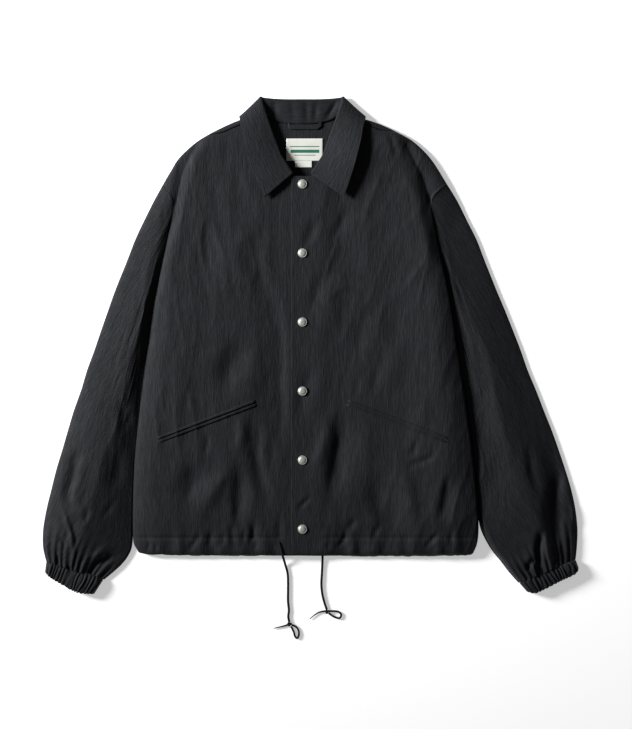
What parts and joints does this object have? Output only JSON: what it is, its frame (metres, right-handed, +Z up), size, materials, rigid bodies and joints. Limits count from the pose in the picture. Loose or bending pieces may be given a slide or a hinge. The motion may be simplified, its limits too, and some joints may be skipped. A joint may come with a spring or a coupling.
{
  "type": "coach jacket",
  "caption": "Snap-front coach jacket laid flat, with a point collar, slanted welt pockets, gathered elastic cuffs and a drawcord in the hem.",
  "frame": {"origin": "on the surface that the jacket lies on, under the centre front, 320 mm above the hem", "axes": "+X towards the wearer's left side, +Y from the hem to the collar, +Z up from the surface through the fronts"},
  "size_m": [0.8165, 0.8261, 0.0259],
  "materials": {
    "shell_cloth": "matt washed nylon and cotton poplin, finely crinkled, charcoal black",
    "snap_metal": "antique silver, softly brushed",
    "label_cloth": "woven satin, off-white with plain green bars",
    "cord_braid": "round braided cotton cord, black"
  },
  "bodies": {
    "root": {"front_left": "shell_cloth", "front_right": "shell_cloth", "back": "shell_cloth", "sleeve_left": "shell_cloth", "sleeve_right": "shell_cloth", "cuff_left": "shell_cloth", "cuff_right": "shell_cloth", "collar": "shell_cloth", "pocket_left_lower": "shell_cloth", "pocket_left_upper": "shell_cloth", "pocket_right_lower": "shell_cloth", "pocket_right_upper": "shell_cloth", "hanger_loop": "shell_cloth", "snap_1": "snap_metal", "snap_2": "snap_metal", "snap_3": "snap_metal", "snap_4": "snap_metal", "snap_5": "snap_metal", "snap_6": "snap_metal", "label": "label_cloth", "size_tab": "label_cloth", "drawcord_left": "cord_braid", "drawcord_left_loop": "cord_braid", "drawcord_left_tail": "cord_braid", "drawcord_left_knot": "cord_braid", "drawcord_right": "cord_braid", "drawcord_right_loop": "cord_braid", "drawcord_right_tail": "cord_braid", "drawcord_right_knot": "cord_braid"}
  },
  "joints": []
}
